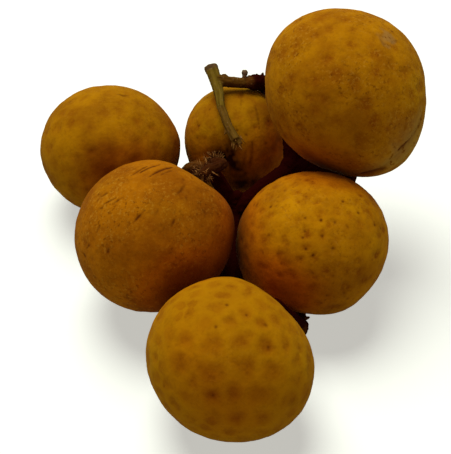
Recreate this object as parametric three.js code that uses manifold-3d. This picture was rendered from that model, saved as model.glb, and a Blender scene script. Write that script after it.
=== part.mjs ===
// A small bunch of six longans on one woody panicle, lying on a table.
// Millimetres, +Z up. Five fruits lie low and one is held up behind them on the right.
import * as THREE from "three";
import { mergeVertices } from "three/addons/utils/BufferGeometryUtils.js";
import Module from "manifold-3d";

const wasm = await Module();
wasm.setup();

// ---- driving dimensions, in millimetres unless said otherwise

// Each fruit has its centre, its half sizes (across, through, and stem end to tip), the direction
// that its stem end faces, and its turn about that direction in radians. cavity is how deep the
// stem end is sunk and rim how high the shoulder stands round it, as shares of the half size.
// Each swell is a direction and how far the fruit bulges that way, or is flattened if it is under 0.
const fruits = [
  {
    name: "fruit_back_left",
    centre: [-21.1, 25.9, 12.0],
    half: [13.1, 11.8, 12.6],
    stemEnd: [0.88, -0.42, -0.2],
    turn: 2.75,
    cavity: 0.1,
    rim: 0.03,
    swells: [
      [-0.93, -0.25, -0.27, 0.02],
      [-0.98, 0.14, 0.15, 0.025],
    ],
  },
  {
    name: "fruit_back_middle",
    centre: [2.2, 30.7, 10.0],
    half: [10.4, 9.8, 9.75],
    stemEnd: [-0.37, -0.88, 0.29],
    turn: 2.04,
    cavity: 0.1,
    rim: 0.03,
    swells: [
      [0.6, 0.2, 0.77, 0.03],
      [-0.65, 0.5, 0.57, 0.03],
    ],
  },
  {
    name: "fruit_top_right",
    centre: [20.9, 19.1, 31.0],
    half: [13.8, 13.6, 13.0],
    stemEnd: [-0.55, 0.317, -0.774],
    turn: 1.9,
    cavity: 0.12,
    rim: 0.04,
    swells: [
      [0.52, -0.58, -0.62, 0.13],
      [-0.77, 0.44, 0.47, 0.1],
      [0.82, 0.39, 0.42, 0.035],
      [0.985, -0.12, -0.13, -0.035],
      [0.72, -0.47, -0.51, 0.035],
    ],
  },
  {
    name: "fruit_middle_left",
    centre: [-12.6, -0.3, 14.9],
    half: [12.4, 13.7, 13.1],
    stemEnd: [0.64, 0.6, 0.48],
    turn: 1.34,
    cavity: 0.12,
    rim: 0.02,
    swells: [
      [0.94, 0.22, 0.26, 0.1],
      [0.58, 0.6, 0.55, -0.06],
    ],
  },
  {
    name: "fruit_middle_right",
    centre: [14.7, -0.2, 12.7],
    half: [13.0, 12.8, 12.5],
    stemEnd: [-0.15, -0.66, -0.71],
    turn: 3.3,
    cavity: 0.1,
    rim: 0.03,
    swells: [
      [0.61, -0.54, -0.58, -0.035],
      [0.78, 0.42, 0.47, 0.045],
    ],
  },
  {
    name: "fruit_front",
    centre: [0.4, -26.3, 12.6],
    half: [13.4, 12.7, 12.2],
    stemEnd: [0.6, 0.763, 0.232],
    turn: 0.42,
    cavity: 0.12,
    rim: 0.05,
    swells: [
      [0.98, -0.15, -0.16, 0.055],
      [0.73, 0.47, 0.5, -0.06],
      [0.6, -0.55, -0.58, 0.015],
      [-0.6, -0.55, -0.58, 0.02],
    ],
  },
];

const rind = {
  color: 0xa8690f,
  dimplesPerEdge: 5, // dimples along each edge of the icosahedron that spreads them evenly
  dimpleDepth: 0.45, // from the net to the bottom of a dimple
  depthSpread: 0.5, // share of the depth that changes from one dimple to the next
  wander: 0.16, // how far a dimple strays from its even place, as a share of the ball's radius
};
const cavityWidth = 0.26; // radians from the stem axis
const rimAngle = 0.66; // radians from the stem axis to the top of the shoulder
const rimWidth = 0.3; // radians
const rimLean = 0.3; // share by which the shoulder is higher on one side
const swellWidth = 0.7; // radians
const restFlat = 0.3; // depth of the flat on which a low fruit lies

const wood = {
  color: 0x5a3a18,
  sides: 7,
  ringEvery: 2.1, // length of twig between two rings
  roughness: 0.07, // share by which a ring's radius strays
};
const stalkRadius = 0.85; // of a fruit's own stalk where it enters the fruit
const stalkStraight = 2.6; // how far it runs straight out of the stem cavity
const clearGap = 0.53; // between a stalk and the hole in the fruit around it
const socketDepth = 1.9; // of that hole, below the bottom of the stem cavity
const calyx = {
  lobes: 5,
  ring: 0.95, // from the stalk's axis to the middle of a lobe
  length: 0.95,
  width: 0.62,
  thickness: 0.42,
  lift: 1.15, // of the lobes above the bottom of the stem cavity
};

// ---- seeded random numbers

function randomFrom(seed) {
  let state = seed;
  return () => {
    state = (Math.imul(state, 1664525) + 1013904223) >>> 0;
    return state / 4294967296;
  };
}

// ---- solids

function positionsOnly(geometry) {
  geometry.deleteAttribute("normal");
  geometry.deleteAttribute("uv");
  return mergeVertices(geometry);
}

function toSolid(geometry) {
  const merged = positionsOnly(geometry);
  return new wasm.Manifold(
    new wasm.Mesh({
      numProp: 3,
      vertProperties: new Float32Array(merged.attributes.position.array),
      triVerts: new Uint32Array(merged.index.array),
    }),
  );
}

function toGeometry(solid) {
  const mesh = solid.getMesh();
  const geometry = new THREE.BufferGeometry();
  geometry.setAttribute("position", new THREE.BufferAttribute(mesh.vertProperties, 3));
  geometry.setIndex(new THREE.BufferAttribute(mesh.triVerts, 1));
  return geometry;
}

// ---- fruits

// The fruit's own frame: its stem end faces +Z.
function fruitFrame(fruit) {
  const along = new THREE.Vector3(...fruit.stemEnd).normalize();
  const side = new THREE.Vector3(0, 0, 1).cross(along).normalize();
  const turned = side.applyAxisAngle(along, fruit.turn);
  const third = along.clone().cross(turned);
  const frame = new THREE.Matrix4().makeBasis(turned, third, along);
  return frame.setPosition(...fruit.centre);
}

// Evenly spread directions with a dimple at each corner of a coarse ball, and the net between
// them at the middle of each edge.
function dimpledBall(random) {
  const even = new THREE.IcosahedronGeometry(1, rind.dimplesPerEdge - 1);
  const coarse = positionsOnly(even);
  const points = [];
  const depths = [];
  const place = coarse.attributes.position;
  for (let i = 0; i < place.count; i++) {
    const stray = new THREE.Vector3(random() - 0.5, random() - 0.5, random() - 0.5);
    const point = new THREE.Vector3().fromBufferAttribute(place, i);
    points.push(point.addScaledVector(stray, rind.wander).normalize());
    depths.push(rind.dimpleDepth * (1 - rind.depthSpread * random()));
  }
  const middles = new Map();
  const middleOf = (a, b) => {
    const key = Math.min(a, b) + "_" + Math.max(a, b);
    if (!middles.has(key)) {
      middles.set(key, points.length);
      points.push(points[a].clone().add(points[b]).normalize());
      depths.push(0);
    }
    return middles.get(key);
  };
  const triangles = [];
  for (let i = 0; i < coarse.index.count; i += 3) {
    const [a, b, c] = [0, 1, 2].map((k) => coarse.index.getX(i + k));
    const [ab, bc, ca] = [middleOf(a, b), middleOf(b, c), middleOf(c, a)];
    triangles.push(a, ab, ca, b, bc, ab, c, ca, bc, ab, bc, ca);
  }
  return { points, depths, triangles };
}

// A smooth hump that is 1 at its middle.
function hump(distance, width) {
  return Math.exp(-((distance / width) ** 2));
}

// How far out the skin lies in a direction of the fruit's own frame, as a share of the half size.
function fruitProfile(fruit, swells, point) {
  const angle = Math.acos(THREE.MathUtils.clamp(point.z, -1, 1));
  const lean = 1 + rimLean * Math.cos(Math.atan2(point.y, point.x));
  let share = 1 - fruit.cavity * hump(angle, cavityWidth);
  share += fruit.rim * lean * hump(angle - rimAngle, rimWidth);
  for (const { toward, by } of swells) {
    share += by * hump(point.angleTo(toward), swellWidth);
  }
  return share;
}

function fruitSkin(fruit, frame, random) {
  const ball = dimpledBall(random);
  const inward = frame.clone().invert();
  const swells = fruit.swells.map(([x, y, z, by]) => {
    return { toward: new THREE.Vector3(x, y, z).transformDirection(inward), by };
  });
  const [across, through, long] = fruit.half;
  const places = [];
  ball.points.forEach((point, i) => {
    const reach = fruitProfile(fruit, swells, point) - ball.depths[i] / long;
    places.push(point.x * across * reach, point.y * through * reach, point.z * long * reach);
  });
  const geometry = new THREE.BufferGeometry();
  geometry.setAttribute("position", new THREE.Float32BufferAttribute(places, 3));
  geometry.setIndex(ball.triangles);
  return toSolid(geometry);
}

function cavityBottom(fruit) {
  return fruit.half[2] * (1 - fruit.cavity);
}

function stalkHole(fruit) {
  const length = socketDepth + 4;
  const hole = new THREE.CylinderGeometry(
    stalkRadius + clearGap,
    stalkRadius + clearGap,
    length,
    wood.sides,
  );
  hole.rotateX(Math.PI / 2);
  hole.translate(0, 0, cavityBottom(fruit) - socketDepth + length / 2);
  return toSolid(hole);
}

// Everything under the table's surface, turned into the fruit's own frame.
function underTable(frame) {
  const slab = new THREE.BoxGeometry(60, 60, 20);
  slab.translate(frame.elements[12], frame.elements[13], restFlat - 10);
  slab.applyMatrix4(frame.clone().invert());
  return toSolid(slab);
}

function rindMaterial() {
  return new THREE.MeshStandardMaterial({ color: rind.color, roughness: 0.75, metalness: 0 });
}

function makeFruit(fruit, index) {
  const random = randomFrom(101 + 17 * index);
  const frame = fruitFrame(fruit);
  const skin = fruitSkin(fruit, frame, random);
  const solid = skin.subtract(stalkHole(fruit)).subtract(underTable(frame));
  const mesh = new THREE.Mesh(toGeometry(solid), rindMaterial());
  mesh.name = fruit.name;
  mesh.applyMatrix4(frame);
  return mesh;
}

// ---- panicle: the cut peduncle, its twigs and the stalks of the fruits, grown as one piece

// A twig through the given points, each with its own radius as the fourth number.
function twig(points, random) {
  const middles = points.map(([x, y, z]) => new THREE.Vector3(x, y, z));
  const curve = new THREE.CatmullRomCurve3(middles);
  const steps = Math.max(2, Math.round(curve.getLength() / wood.ringEvery));
  const frames = curve.computeFrenetFrames(steps, false);
  const rings = [];
  for (let i = 0; i <= steps; i++) {
    const at = curve.getUtoTmapping(i / steps) * (points.length - 1);
    const from = Math.min(Math.floor(at), points.length - 2);
    const radius = THREE.MathUtils.lerp(points[from][3], points[from + 1][3], at - from);
    const stray = 1 + wood.roughness * (2 * random() - 1);
    rings.push({ middle: curve.getPointAt(i / steps), radius: radius * stray });
  }
  const geometry = new THREE.CylinderGeometry(1, 1, 1, wood.sides, steps);
  const place = geometry.attributes.position;
  for (let i = 0; i < place.count; i++) {
    const step = Math.round((place.getY(i) + 0.5) * steps);
    const { middle, radius } = rings[step];
    const point = middle.clone();
    point.addScaledVector(frames.normals[step], place.getX(i) * radius);
    point.addScaledVector(frames.binormals[step], -place.getZ(i) * radius);
    place.setXYZ(i, point.x, point.y, point.z);
  }
  return toSolid(geometry);
}

// A rounded knob, long or flat along the direction that it grows.
function knob([x, y, z], radius, stretch = 1, grows = [0, 0, 1]) {
  const geometry = new THREE.IcosahedronGeometry(radius, 1);
  geometry.scale(1, 1, stretch);
  const up = new THREE.Vector3(0, 0, 1);
  const turn = new THREE.Quaternion().setFromUnitVectors(
    up,
    new THREE.Vector3(...grows).normalize(),
  );
  geometry.applyQuaternion(turn);
  geometry.translate(x, y, z);
  return toSolid(geometry);
}

// A pointed bud or a splinter of torn wood, from its root to its tip.
function spike(root, tip, radius) {
  const from = new THREE.Vector3(...root);
  const to = new THREE.Vector3(...tip);
  const along = to.clone().sub(from);
  const geometry = new THREE.ConeGeometry(radius, along.length(), 6);
  geometry.translate(0, along.length() / 2, 0);
  const up = new THREE.Vector3(0, 1, 0);
  geometry.applyQuaternion(
    new THREE.Quaternion().setFromUnitVectors(up, along.clone().normalize()),
  );
  geometry.translate(from.x, from.y, from.z);
  return toSolid(geometry);
}

// A fruit's stalk: from a node of the panicle, in along the fruit's stem axis to its socket.
function fruitStalk(fruit, route, random, straight = stalkStraight) {
  const frame = fruitFrame(fruit);
  const inner = cavityBottom(fruit) - socketDepth + clearGap;
  const onAxis = (height) => new THREE.Vector3(0, 0, height).applyMatrix4(frame).toArray();
  const end = onAxis(inner);
  const mouth = onAxis(cavityBottom(fruit) + straight);
  const points = [
    ...route,
    [...mouth, stalkRadius * 1.15],
    [...onAxis(inner + 1.4), stalkRadius],
    [...end, stalkRadius * 0.9],
  ];
  return [twig(points, random), ...calyxLobes(fruit, frame)];
}

// Small dry lobes round the stalk, just above the stem cavity.
function calyxLobes(fruit, frame) {
  const lobes = [];
  for (let i = 0; i < calyx.lobes; i++) {
    const lobe = new THREE.IcosahedronGeometry(1, 0);
    lobe.scale(calyx.length, calyx.width, calyx.thickness);
    lobe.rotateY(-0.25);
    lobe.translate(calyx.ring, 0, cavityBottom(fruit) + calyx.lift);
    lobe.rotateZ((2 * Math.PI * i) / calyx.lobes);
    lobe.applyMatrix4(frame);
    lobes.push(toSolid(lobe));
  }
  return lobes;
}

// The nodes of the panicle, and the radius of the wood there.
const peduncleCut = [-2.7, 36.3, 23.2, 1.35];
const sideTwigNode = [-1.8, 33.4, 22.3, 1.1];
const upperNode = [11.2, 29.2, 19.4, 1.4];
const innerNode = [12.0, 20.3, 12.7, 2.0];
const middleNode = [1.5, 13.3, 7.7, 1.4];
const backNode = [-2.7, 18.0, 14.2, 1.15];
const frontNode = [12.2, -11.9, 4.6, 1.75];

function peduncle(random) {
  const shaft = [
    peduncleCut,
    sideTwigNode,
    [-1.2, 30.3, 21.6, 0.95],
    [-0.8, 27.3, 20.9, 0.8],
    [0.8, 22.9, 19.3, 0.85],
    [1.9, 20.9, 18.4, 0.9],
  ];
  return [
    twig(shaft, random),
    spike([2.1, 21.3, 18.5], [2.8, 19.6, 17.6], 0.75),
    spike([0.5, 23.8, 19.4], [-0.3, 22.0, 18.6], 0.75),
    spike([1.6, 21.3, 18.5], [1.4, 19.3, 17.4], 0.75),
  ];
}

function sideTwig(random) {
  const route = [
    sideTwigNode,
    [1.0, 33.3, 22.1, 1.05],
    [3.4, 33.4, 21.7, 1.0],
    [5.6, 34.4, 21.1, 1.55],
    [7.7, 35.3, 20.0, 1.35],
    [9.3, 34.9, 18.6, 1.35],
    upperNode,
  ];
  return [
    twig(route, random),
    knob([-0.2, 34.3, 22.3], 0.75),
    knob([3.5, 33.9, 22.5], 0.5, 1.7),
    knob([3.5, 34.5, 23.2], 0.68),
    knob([5.3, 34.9, 21.7], 0.75),
    spike([6.7, 35.2, 20.9], [7.0, 36.6, 22.0], 0.8),
    spike([8.3, 35.9, 19.0], [9.5, 37.6, 18.9], 0.8),
    spike([6.9, 36.4, 19.9], [7.3, 40.0, 13.4], 1.5), // stub of a shoot behind the fruit
  ];
}

function mainAxis(random) {
  const down = [
    upperNode,
    [12.0, 24.5, 16.3, 1.7],
    innerNode,
    [6.8, 16.5, 10.8, 1.7],
    [3.7, 14.4, 9.1, 1.6],
    middleNode,
  ];
  const forward = [
    middleNode,
    [0.95, 5.0, 4.8, 1.75],
    [1.0, -2.5, 4.5, 1.85],
    [2.6, -7.5, 4.4, 1.7],
    [7.0, -11.0, 4.5, 1.5],
    frontNode,
  ];
  const up = [middleNode, [-0.2, 15.4, 11.2, 1.5], backNode];
  const outward = [innerNode, [17.6, 19.6, 12.8, 1.8], [23.0, 15.5, 13.8, 0.95]];
  return [
    twig(down, random),
    twig(forward, random),
    twig(up, random),
    twig(outward, random), // a side shoot without its fruit
    knob(upperNode.slice(0, 3), 1.7),
    knob(innerNode.slice(0, 3), 2.3),
    knob(middleNode.slice(0, 3), 1.8),
    knob(backNode.slice(0, 3), 1.5),
    knob(frontNode.slice(0, 3), 1.95),
    spike([12.3, -12.4, 5.1], [12.9, -14.9, 5.7], 1.5), // stub of a broken side shoot
  ];
}

function fruitStalks(random) {
  const [backLeft, backMiddle, topRight, middleLeft, middleRight, front] = fruits;
  return [
    fruitStalk(backLeft, [backNode, [-6.3, 19.9, 12.8, 1.1]], random),
    fruitStalk(backMiddle, [backNode], random),
    fruitStalk(topRight, [upperNode, [12.2, 26.6, 18.5, 1.2]], random),
    fruitStalk(middleLeft, [backNode, [-0.4, 14.6, 18.4, 1.1]], random),
    fruitStalk(middleRight, [frontNode], random),
    fruitStalk(front, [frontNode, [11.4, -13.6, 8.0, 1.1], [10.2, -15.6, 11.6, 0.95]], random, 1.5),
  ].flat();
}

function makePanicle() {
  const random = randomFrom(7);
  const pieces = [
    ...peduncle(random),
    ...sideTwig(random),
    ...mainAxis(random),
    ...fruitStalks(random),
  ];
  const solid = pieces.reduce((joined, piece) => joined.add(piece));
  const material = new THREE.MeshStandardMaterial({
    color: wood.color,
    roughness: 0.85,
    metalness: 0,
  });
  const mesh = new THREE.Mesh(toGeometry(solid), material);
  mesh.name = "panicle";
  return mesh;
}

// ---- the bunch, with its origin under the middle of its box

const bunch = new THREE.Group();
bunch.add(...fruits.map(makeFruit), makePanicle());
bunch.updateMatrixWorld(true);
const box = new THREE.Box3().setFromObject(bunch, true);
const middle = box.getCenter(new THREE.Vector3());
bunch.position.set(-middle.x, -middle.y, -box.min.z);

export default bunch;
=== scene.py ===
import itertools
import math

import bmesh
import bpy
import numpy as np
from mathutils import Matrix, Vector


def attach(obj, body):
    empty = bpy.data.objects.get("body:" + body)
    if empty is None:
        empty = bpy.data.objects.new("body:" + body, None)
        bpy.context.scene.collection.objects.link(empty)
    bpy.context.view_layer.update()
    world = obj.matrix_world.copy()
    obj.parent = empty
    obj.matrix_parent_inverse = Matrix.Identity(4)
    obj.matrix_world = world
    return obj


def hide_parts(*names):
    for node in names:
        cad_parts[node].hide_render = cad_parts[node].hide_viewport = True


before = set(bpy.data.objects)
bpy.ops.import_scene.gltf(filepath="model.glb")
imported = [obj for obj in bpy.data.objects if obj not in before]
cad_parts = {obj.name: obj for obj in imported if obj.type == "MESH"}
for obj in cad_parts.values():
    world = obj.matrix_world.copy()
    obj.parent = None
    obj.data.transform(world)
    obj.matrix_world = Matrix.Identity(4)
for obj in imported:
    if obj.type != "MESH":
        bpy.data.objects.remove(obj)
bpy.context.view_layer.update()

mm = 0.001
# from the places below to the frame's origin, in millimetres
bunchShift = np.array([-0.19, -0.835, -0.3])


# helpers for shapes

def unit(vector):
    vector = np.asarray(vector, float)
    return vector / np.linalg.norm(vector, axis=-1, keepdims=True)


def hump(distance, width):
    # 1 where the distance is nothing, and falling off smoothly over the width
    return np.exp(-((distance / width) ** 2))


def easeStep(value, low, high):
    # from 0 at low, or below it, to 1 at high
    share = np.clip((value - low) / (high - low), 0, 1)
    return share * share * (3 - 2 * share)


def smoothNoise(points, seed):
    # soft random values from about -1 to 1, one for each point; large primes scramble the cells
    cell = np.floor(points).astype(np.int64)
    part = points - cell
    ease = part * part * (3 - 2 * part)
    total = np.zeros(len(points))
    for corner in itertools.product((0, 1), repeat=3):
        x, y, z = (cell + np.array(corner)).T
        mixed = (x * 73856093) ^ (y * 19349663) ^ (z * 83492791) ^ (seed * 97531)
        mixed = (mixed ^ (mixed >> 13)) * 1274126177
        value = ((mixed ^ (mixed >> 16)) & 0xFFFF) / 32767.5 - 1
        near = np.where(np.array(corner), ease, 1 - ease)
        total += value * near.prod(axis=1)
    return total


def layeredNoise(points, seed, layers=3):
    return sum(smoothNoise(points * 2 ** n, seed + n) / 2 ** n for n in range(layers))


def cornerPlaces(mesh):
    places = np.empty(len(mesh.vertices) * 3)
    mesh.vertices.foreach_get("co", places)
    return places.reshape(-1, 3)


def giveAttributes(mesh, looks):
    # what the materials read, each with one value for every corner
    for name, values in looks.items():
        layer = mesh.attributes.new(name, "FLOAT", "POINT")
        layer.data.foreach_set("value", np.asarray(values, np.float32))


def shadeSmooth(mesh):
    mesh.polygons.foreach_set("use_smooth", np.ones(len(mesh.polygons), bool))


def builtMesh(name, builder):
    mesh = bpy.data.meshes.new(name)
    builder.to_mesh(mesh)
    builder.free()
    shadeSmooth(mesh)
    return mesh


def addObject(name, data):
    piece = bpy.data.objects.new(name, data)
    bpy.context.scene.collection.objects.link(piece)
    return piece


# helpers for materials

def linear(red, green, blue):
    # a colour as seen on a screen, 0 to 255, turned into Blender's own values
    return tuple((c / 255) ** 2.2 for c in (red, green, blue)) + (1.0,)


def newMaterial(name):
    material = bpy.data.materials.new(name)
    material.use_nodes = True
    tree = material.node_tree
    shader = tree.nodes["Principled BSDF"]
    return material, tree, shader


def addNode(tree, kind, inputs=None, **settings):
    node = tree.nodes.new(kind)
    for key, value in settings.items():
        setattr(node, key, value)
    for key, value in (inputs or {}).items():
        if isinstance(value, bpy.types.NodeSocket):
            tree.links.new(value, node.inputs[key])
        else:
            node.inputs[key].default_value = value
    return node


def objectPlace(tree):
    return addNode(tree, "ShaderNodeTexCoord").outputs["Object"]


def attributeOut(tree, name):
    return addNode(tree, "ShaderNodeAttribute", attribute_name=name).outputs["Fac"]


def noiseOut(tree, where, scale, detail, roughness):
    inputs = {"Vector": where, "Scale": scale, "Detail": detail, "Roughness": roughness}
    return addNode(tree, "ShaderNodeTexNoise", inputs).outputs["Fac"]


def rangeOut(tree, value, low, high, least=0.0):
    inputs = {"Value": value, "From Min": low, "From Max": high, "To Min": least, "To Max": 1.0}
    node = addNode(tree, "ShaderNodeMapRange", inputs, interpolation_type="SMOOTHSTEP")
    return node.outputs["Result"]


def patchesOut(tree, where, patches, least=0.0):
    # patches of noise: its scale, detail and roughness, then where they begin and are full
    *noise, low, high = patches
    return rangeOut(tree, noiseOut(tree, where, *noise), low, high, least)


def timesOut(tree, first, second):
    return addNode(tree, "ShaderNodeMath", {0: first, 1: second}, operation="MULTIPLY").outputs[0]


def mixOut(tree, share, first, second, blend="MIX"):
    node = addNode(tree, "ShaderNodeMix", data_type="RGBA", blend_type=blend)
    for key, value in (("Factor_Float", share), ("A_Color", first), ("B_Color", second)):
        socket = next(s for s in node.inputs if s.identifier == key)
        if isinstance(value, bpy.types.NodeSocket):
            tree.links.new(value, socket)
        else:
            socket.default_value = value
    return next(s for s in node.outputs if s.identifier == "Result_Color")


def finishShader(tree, shader, colour, look):
    tree.links.new(colour, shader.inputs["Base Color"])
    shader.inputs["Roughness"].default_value = look["roughness"]
    shader.inputs["Specular IOR Level"].default_value = look["specular"]


def addBumps(tree, shader, where, look):
    bumps = addNode(tree, "ShaderNodeBump", {
        "Height": noiseOut(tree, where, *look["bumpNoise"]),
        "Strength": look["bumpStrength"],
        "Distance": look["bumpDepth"],
    })
    tree.links.new(bumps.outputs["Normal"], shader.inputs["Normal"])


# what all the fruits share; sizes in millimetres, angles in radians
fruitForm = {
    "ballCuts": 80,  # faces grow with its square
    "cavityWidth": 0.26,
    "rimAngle": 0.66,
    "rimWidth": 0.3,
    "rimLean": 0.3,
    "swellWidth": 0.7,
    "socketRadius": 1.3,
    "socketDepth": 0.6,
    "socketSlope": 0.5,
    "sunk": 0.04,  # of the whole skin, to stay clear of its neighbours
    "waves": ((0.09, 2.5, 70), (0.03, 11, 80), (0.02, 30, 90)),  # height, fineness and seed
    "rowOfDimples": 0.866,  # how close the rows stand, as a share of the pitch
    "dimpleWander": 0.2,  # this and the next four are shares of the pitch too
    "dimpleWidths": (0.26, 0.42),
    "blotClear": 0.4,  # from a blot's edge to the nearest dimple's middle
    "netClear": 0.25,  # from a dimple's middle to the net
    "dotWander": 0.1,
    "netWidth": 1.4,
    "swirl": (0.045, 6),  # how far they are pulled out of round, in radians, and how finely
    "dotSizes": (0.15, 0.3),
    "dotDepth": 0.05,
    "dotEdge": 0.8,  # a placed dot's soft edge, as a share of its radius
    "smudge": (0.75, 0.45),  # radius and strength of the brown round a placed dot
    "strokeDepth": 0.08,
    "strokeTaper": (0.55, 0.6),  # its width at the ends, and what its middle has more
    "slantWander": 0.12,  # of the streaks, in radians
    "streakWaver": (0.12, 3),  # how far a streak wavers, and how quickly
    "streakLengths": (0.6, 1.2),  # shares of the patch's own length
    "streakTones": (0.5, 1.0),
    # how far the edge of each kind of mark wavers, how finely, and what it adds to the fruit's
    # seed; a patch wavers in radians
    "waver": {"strokes": (0.12, 28, 7), "scurfy": (0.12, 28, 8), "folded": (0.12, 28, 9),
              "dots": (0.08, 40, 6), "stainsAndShade": (0.5, 14, 9), "scar": (1.1, 13, 5),
              "crease": (0.5, 5, -34), "patch": (0.12, 4, 11)},
    "stemEndDark": 0.2,  # reach of the dark at the stem end
    "crowdShadeReach": 7.5,  # how far off a neighbour still brings the painted shade onto the rind
    "crowdShadeTurn": 0.15,  # so that skin a little turned away from it gets the painted shade too
    "shadedHeart": ((1.5, 13.3, 7.7), (6.0, 19.0, 11.0), (12.0, 20.3, 12.7)),  # the bunch's shaded inside, which brings painted shade onto the rind near it
    "shadedHeartReach": 7.0,
}

# One dictionary for each fruit: its form, then the relief and tone of its rind. Turns and heights
# are compass turns and heights in degrees, seen from the fruit's middle.
# half: half sizes across, through and along the stem axis
# swells: a direction, and the share by which the skin stands out there, or lies in below 0
# hollows: strength of the weakest and of the strongest dimple
# net: strength of the yellow between the dimples
# pressed: strength of the painted shade where other fruits crowd round
# blots, dots, stains: turn, height, radius, strength of large dimples, small dark spots and
# broad, nearly black ones; these last are partly a stain by the stem end and partly painted shade
# blush, fresh, ruddy: turn, height, spread, strength of browner, greener and redder patches,
# partly the rind's own colour and partly painted shade, painted light and painted red bounce light
# strokes, scurfy, folded: turn and height at each end of a line, then its width and strength
# streaks: short strokes scattered over one patch
# scar: turn, height, radius
fruitBackLeft = {
    "node": "fruit_back_left",
    "centre": (-21.1, 25.9, 12.0),
    "half": (13.1, 11.8, 12.6),
    "stemEnd": (0.88, -0.42, -0.2),
    "turn": 2.75,
    "cavity": 0.1,
    "rim": 0.03,
    "swells": [(-0.93, -0.25, -0.27, 0.02), (-0.98, 0.14, 0.15, 0.025)],
    "seed": 11,
    "net": 0.08,
    "crowdShadeStrength": 0.75,
    "blushAndShade": [(-85, 35, 12, 0.6), (-88, 27, 11, 0.8), (-68, 32, 12, 0.6), (-100, 24, 10, 0.4),
              (-112, 50, 16, 0.3)],
    "pitch": 3.4,
    "dimpleDepth": 0.16,
    "hollows": (0.15, 1.0),
    "hollowTone": 0.5,
    "dotShare": 0.03,
    "dotTone": 0.35,
    "blots": [(-97, 73, 1.1, 0.5), (-54, 71, 1.2, 0.6), (-93, 46, 1.2, 0.4), (-77, 38, 1.5, 0.6)],
    "streaks": [{"turn": 27, "height": 72, "spread": 3, "count": 3, "slant": (1, 0.1, 0),
                 "length": 0.9, "width": 0.2, "tone": 0.6}],
    "mottle": 0.7,
    "speckle": 0.5,
    "scurf": 0.3,
    "light": (171, 114, 0),
    "dark": (138, 84, 0),
}

fruitBackMiddle = {
    "node": "fruit_back_middle",
    "centre": (2.2, 30.7, 10.0),
    "half": (10.4, 9.8, 9.75),
    "stemEnd": (-0.37, -0.88, 0.29),
    "turn": 2.04,
    "cavity": 0.1,
    "rim": 0.03,
    "swells": [(0.6, 0.2, 0.77, 0.03), (-0.65, 0.5, 0.57, 0.03)],
    "seed": 23,
    "net": 0.06,
    "pitch": 2.9,
    "dimpleDepth": 0.16,
    "hollows": (0.15, 1.0),
    "hollowTone": 0.6,
    "dotShare": 0.08,
    "dotTone": 0.6,
    "blots": [(-134, 47, 0.8, 0.5), (-89, 66, 0.9, 0.8), (-61, 18, 1.0, 0.7)],
    "dots": [(-154, 40, 0.3, 0.9), (-147, 29, 0.22, 0.5), (-77, 46, 0.35, 0.8),
             (-91, 51, 0.3, 0.7)],
    "strokes": [(76, 66, -73, 79, 0.25, 0.3), (-22, 70, -53, 48, 0.25, 0.4),
                (-70, 37, -77, 10, 0.3, 0.6), (-80, 30, -84, 12, 0.3, 0.4)],
    "crowdShadeStrength": 0.4,
    "blushAndShade": [(-13, 56, 22, 0.6), (-31, 23, 14, 0.4), (-62, 14, 22, 0.2)],
    "freshAndLight": [(-130, 20, 24, 1.0), (-150, 30, 16, 0.6), (-68, 10, 20, 0.9), (56, 64, 12, 1.0)],
    "ruddyAndBounce": [(-66, 4, 24, 0.7), (-36, 20, 20, 0.6), (-125, 8, 22, 0.9)],
    # partly a stain by the stem end, partly painted shade under the torn stem and on the shaded
    # underside
    "stainsAndShade": [(-99, 38, 0.8, 0.7), (-98, 29, 1.0, 0.9), (-98, 19, 1.2, 0.8), (-88, 12, 1.4, 0.6),
               (-86, -10, 2.6, 1.0), (-66, -17, 1.8, 0.8)],
    "mottle": 0.7,
    "speckle": 0.5,
    "scurf": 0.3,
    "light": (172, 120, 0),
    "dark": (132, 78, 0),
}

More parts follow.
